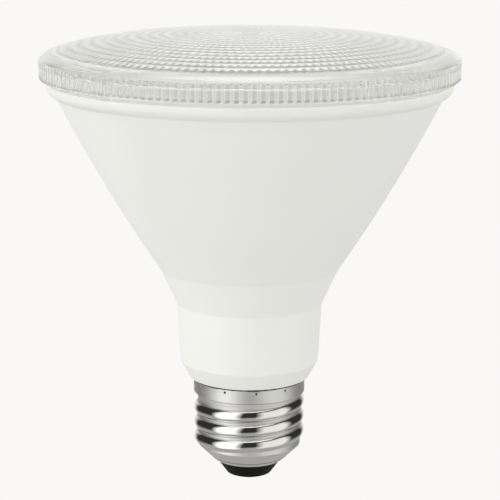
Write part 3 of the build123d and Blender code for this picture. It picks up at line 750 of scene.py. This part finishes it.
innerFinishes = {
    # aluminium, deep drawn: light grey with a faint drawn grain
    "heat_spreader": finish("aluminium drawn", ("#C4C5C7", "#D0D1D2"), (0.32, 0.45),
        blotch=5.0, grain=0.4, bump=0.1, depth=0.03, metallic=1.0),
    # solder mask, printed and cured: chalky white
    "led_board": finish("solder mask white", ("#EDEDE8", "#F2F2EE"), (0.4, 0.5),
        blotch=4.0, grain=0.3, bump=0.08, depth=0.02),
    # phosphor in silicone, dispensed: matt yellow
    "led_packages": finish("phosphor silicone", ("#E3C23A", "#EBD05A"), (0.5, 0.6),
        blotch=1.2, grain=0.15, bump=0.15, depth=0.02),
    # steel, zinc plated: bluish grey
    "board_screws": finish("steel zinc plated", ("#B5B9BD", "#C2C5C8"), (0.28, 0.4),
        blotch=1.0, grain=0.2, bump=0.1, depth=0.02, metallic=1.0),
    # nylon, moulded: milky off-white
    "output_socket": finish("nylon natural", ("#E6E3D8", "#ECEAE0"), (0.45, 0.55),
        blotch=2.0, grain=0.2, bump=0.1, depth=0.02),
    # brass, tin plated: pale bright metal
    "output_pins": finish("brass tin plated", ("#C9C6BC", "#D2CFC6"), (0.25, 0.35),
        blotch=0.8, grain=0.15, bump=0.08, depth=0.01, metallic=1.0),
    # glass-epoxy laminate: straw-coloured with a woven bump
    "driver_board": finish("glass epoxy laminate", ("#B9AC7E", "#C4B88C"), (0.4, 0.5),
        blotch=3.0, grain=0.5, bump=0.15, depth=0.03),
    # ferrite, sintered: dull charcoal
    "transformer_core": finish("ferrite sintered", ("#2B2B2C", "#363637"), (0.6, 0.75),
        blotch=1.5, grain=0.2, bump=0.25, depth=0.03),
    # polyester tape over copper: yellow with a low gloss
    "transformer_winding": finish("polyester tape yellow", ("#D9BE3C", "#E2CA50"), (0.3, 0.42),
        blotch=2.0, grain=0.4, bump=0.1, depth=0.02),
    # PVC sleeve, heat shrunk: glossy near-black
    "bulk_capacitor": finish("PVC sleeve black", ("#1C1D22", "#24252B"), (0.25, 0.35),
        blotch=3.0, grain=0.5, bump=0.1, depth=0.02),
    # PVC sleeve, heat shrunk: glossy dark green
    "output_capacitor": finish("PVC sleeve green", ("#1E3A30", "#264539"), (0.25, 0.35),
        blotch=3.0, grain=0.5, bump=0.1, depth=0.02),
    # epoxy, dipped: brick red with a soft gloss
    "film_capacitor": finish("epoxy dipped red", ("#8A3B2C", "#974636"), (0.35, 0.45),
        blotch=1.8, grain=0.3, bump=0.15, depth=0.03),
    # ferrite, lacquered: dark grey with a low gloss
    "line_choke": finish("ferrite lacquered", ("#3A3A3E", "#454549"), (0.45, 0.6),
        blotch=1.4, grain=0.2, bump=0.2, depth=0.03),
    # ceramic, lacquered: powder blue
    "fusible_resistor": finish("lacquer blue", ("#6F93A8", "#7A9DB1"), (0.35, 0.45),
        blotch=1.2, grain=0.2, bump=0.1, depth=0.02),
    # epoxy, transfer moulded: matt black with a sandy grain
    "bridge_rectifier": finish("epoxy moulded black", ("#161617", "#1D1D1E"), (0.55, 0.7),
        blotch=1.2, grain=0.12, bump=0.25, depth=0.02),
    "driver_chip": finish("epoxy moulded charcoal", ("#1A1A1B", "#222223"), (0.55, 0.7),
        blotch=1.0, grain=0.12, bump=0.25, depth=0.02),
    # PVC insulation, extruded: smooth with a slight gloss
    "live_lead": finish("PVC insulation red", ("#8E1F1B", "#992722"), (0.35, 0.45),
        blotch=1.5, grain=0.25, bump=0.1, depth=0.01),
    "neutral_lead": finish("PVC insulation white", ("#E2E1DC", "#E9E8E4"), (0.35, 0.45),
        blotch=1.5, grain=0.25, bump=0.1, depth=0.01),
    # brass, nickel plated and tinned at the tip: pale, lightly burnished
    "center_contact": finish("brass nickel plated contact", ("#C9BFA6", "#D4CCB6"), (0.25, 0.38),
        blotch=1.6, grain=0.2, bump=0.1, depth=0.02, metallic=1.0),
}
for nodeName, (materialName, spec) in innerFinishes.items():
    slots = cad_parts[nodeName].data.materials
    slots.clear()
    slots.append(mouldedMaterial(materialName, spec))
print("inner pieces finished", len(innerFinishes))

# Studio: pale light table, a soft box at each side of the camera, white backdrop and bright ceiling

studioSpec = {
    "floorColour": "#F9F8F6",
    "floorSize": 6.0,  # metres
    "floorGap": 0.0002,
    "floorPoints": 13,  # along each side
    "roomLight": 0.04,  # from where no box stands
    "boxFade": 18.0,  # degrees over which a box fades at its edges
    # soft boxes seen from the bulb: azimuth from the camera in degrees, half the width, lowest and
    # highest elevation, and light; a later box stands in front of an earlier one
    "boxes": {
        "light table": (0, 200, -110, -22, 0.5),
        "backdrop": (180, 35, -22, 65, 0.9),
        "left box": (-50, 26, -45, 55, 1.7),
        "right box": (56, 34, -45, 45, 1.15),
        "ceiling": (0, 200, 65, 110, 4.5),
    },
    "panelDistance": 1.0,
    # fill panels that are screened off from the base: azimuth from the camera in degrees, width,
    # lowest and highest elevation, radiance, and the pieces that they reach
    "panels": {
        "fill left": (-110, 1.3, -35, 60, 0.6, "body"),
        "fill right": (110, 1.3, -35, 60, 0.5, "body"),
        "fill over camera": (0, 2.4, 28, 60, 0.5, "body"),
        "lens panel left": (-100, 1.8, -72, 8, 1.6, "lens"),
        "lens panel front": (0, 1.6, -72, 14, 0.9, "lens"),
        "lens panel right": (100, 1.8, -72, 8, 1.6, "lens"),
        "lens arch left": (-100, 1.9, 30, 65, 0.5, "lens"),
        "lens arch front": (0, 1.0, 34, 68, 1.5, "lens"),
        "lens arch right": (100, 1.9, 30, 65, 0.4, "lens"),
        "lens floor front": (0, 2.6, -76, -52, 1.2, "lens"),
    },
}


def buildFloor(spec):
    half = spec["floorSize"] / 2
    grid = np.linspace(-half, half, spec["floorPoints"])
    x, y = np.meshgrid(grid, grid)
    points = np.stack([x.ravel(), y.ravel(), np.full(x.size, cadBox[0].z - spec["floorGap"])], -1)
    index = np.arange(x.size).reshape(x.shape)
    faces = np.stack([index[:-1, :-1], index[:-1, 1:], index[1:, 1:], index[1:, :-1]], -1).reshape(-1, 4)
    mesh = bpy.data.meshes.new("studio_floor")
    mesh.from_pydata(points.tolist(), [], faces.tolist())
    floor = bpy.data.objects.new("studio_floor", mesh)
    scene.collection.objects.link(floor)
    material, tree = newMaterial("light table white")
    glow = addNode(tree, "ShaderNodeEmission", {"Color": hexColour(spec["floorColour"]), "Strength": 1.0})
    addNode(tree, "ShaderNodeOutputMaterial", {"Surface": glow.outputs["Emission"]})
    mesh.materials.append(material)
    floor.visible_diffuse = floor.visible_glossy = floor.visible_transmission = floor.visible_shadow = False


def buildWorld(spec):
    # Light by direction: a dim room, and each box laid over it between its azimuths and elevations.
    world = bpy.data.worlds.new("studio room")
    scene.world = world
    world.use_nodes = True
    tree = world.node_tree
    tree.nodes.clear()
    direction = addNode(tree, "ShaderNodeTexCoord").outputs["Generated"]
    height = addNode(tree, "ShaderNodeSeparateXYZ", {"Vector": direction}).outputs["Z"]
    elevation = addNode(tree, "ShaderNodeMath", {0: height}, operation="ARCSINE").outputs["Value"]

    def along(axis):  # how far the direction goes along an axis
        dot = addNode(tree, "ShaderNodeVectorMath", {0: direction, 1: axis}, operation="DOT_PRODUCT")
        return dot.outputs["Value"]

    def within(angle, lowest, highest):  # 1 between two angles in degrees and 0 outside, with a soft edge
        fade = np.array([-spec["boxFade"] / 2, spec["boxFade"] / 2])
        first, last = np.radians(lowest + fade), np.radians(highest + fade)
        rise = addNode(tree, "ShaderNodeMapRange", {
            "Value": angle, "From Min": first[0], "From Max": first[1]})
        fall = addNode(tree, "ShaderNodeMapRange", {
            "Value": angle, "From Min": last[0], "From Max": last[1], "To Min": 1.0, "To Max": 0.0})
        both = addNode(tree, "ShaderNodeMath", {0: rise.outputs[0], 1: fall.outputs[0]}, operation="MULTIPLY")
        return both.outputs["Value"]

    light = spec["roomLight"]
    for azimuth, halfWidth, lowest, highest, boxLight in spec["boxes"].values():
        a = np.radians(azimuth)
        sideways, towards = along((np.cos(a), np.sin(a), 0)), along((np.sin(a), -np.cos(a), 0))
        turn = addNode(tree, "ShaderNodeMath", {0: sideways, 1: towards}, operation="ARCTAN2")
        across = within(turn.outputs["Value"], -halfWidth, halfWidth)
        masks = {0: across, 1: within(elevation, lowest, highest)}
        inBox = addNode(tree, "ShaderNodeMath", masks, operation="MULTIPLY").outputs["Value"]
        light = addNode(tree, "ShaderNodeMix", {0: inBox, 2: light, 3: boxLight}).outputs[0]
    room = addNode(tree, "ShaderNodeBackground", {"Color": light})
    plain = addNode(tree, "ShaderNodeBackground", {"Color": hexColour(spec["floorColour"])})
    seen = addNode(tree, "ShaderNodeLightPath").outputs["Is Camera Ray"]
    both = addNode(tree, "ShaderNodeMixShader", {0: seen, 1: room.outputs[0], 2: plain.outputs[0]})
    addNode(tree, "ShaderNodeOutputWorld", {"Surface": both.outputs["Shader"]})


def buildPanels(spec, reached):
    # Upright area lights at one distance, each linked to the pieces that it reaches.
    distance = spec["panelDistance"]
    for name, (azimuth, width, lowest, highest, radiance, reach) in spec["panels"].items():
        a = np.radians(azimuth)
        towards = Vector((np.sin(a), -np.cos(a), 0))
        foot, head = distance * np.tan(np.radians([lowest, highest]))
        light = bpy.data.lights.new(name, "AREA")
        light.shape = "RECTANGLE"
        light.size, light.size_y = width, head - foot
        light.energy = radiance * np.pi * width * (head - foot)
        panel = bpy.data.objects.new(name, light)
        panel.location = towards * distance + Vector((0, 0, (foot + head) / 2))
        panel.rotation_mode = "QUATERNION"
        panel.rotation_quaternion = towards.to_track_quat("Z", "Y")
        panel.visible_camera = False
        panel.light_linking.receiver_collection = bpy.data.collections.new("lit by " + name)
        for piece in reached[reach]:
            panel.light_linking.receiver_collection.objects.link(piece)
        scene.collection.objects.link(panel)


buildFloor(studioSpec)
buildWorld(studioSpec)
buildPanels(studioSpec, {"lens": [lens], "body": [housing, reflector]})
print("studio lit")

# Camera: level with the photo's view, a little above the lens

cameraSpec = {
    "aimHeight": 0.0555,
    "elevation": 12.22,
    "distance": 0.443,
    "lens": 135.4,
    "sensor": 36.0,
    "roll": 0.15,
    "shiftX": 0.001,
    "clip": (0.01, 50.0),
}


def buildCamera(spec):
    e = np.radians(spec["elevation"])
    back = Vector((0, -np.cos(e), np.sin(e)))
    data = bpy.data.cameras.new("photo camera")
    data.lens, data.sensor_width = spec["lens"], spec["sensor"]
    data.shift_x = spec["shiftX"]
    data.clip_start, data.clip_end = spec["clip"]
    camera = bpy.data.objects.new("photo camera", data)
    turn = back.to_track_quat("Z", "Y").to_matrix() @ Matrix.Rotation(np.radians(spec["roll"]), 3, "Z")
    place = Vector((0, 0, spec["aimHeight"])) + back * spec["distance"]
    camera.matrix_world = Matrix.Translation(place) @ turn.to_4x4()
    scene.collection.objects.link(camera)
    scene.camera = camera


buildCamera(cameraSpec)
scene.view_settings.view_transform = "Standard"
scene.view_settings.look = "None"

bpy.context.view_layer.update()
print("scene ready")
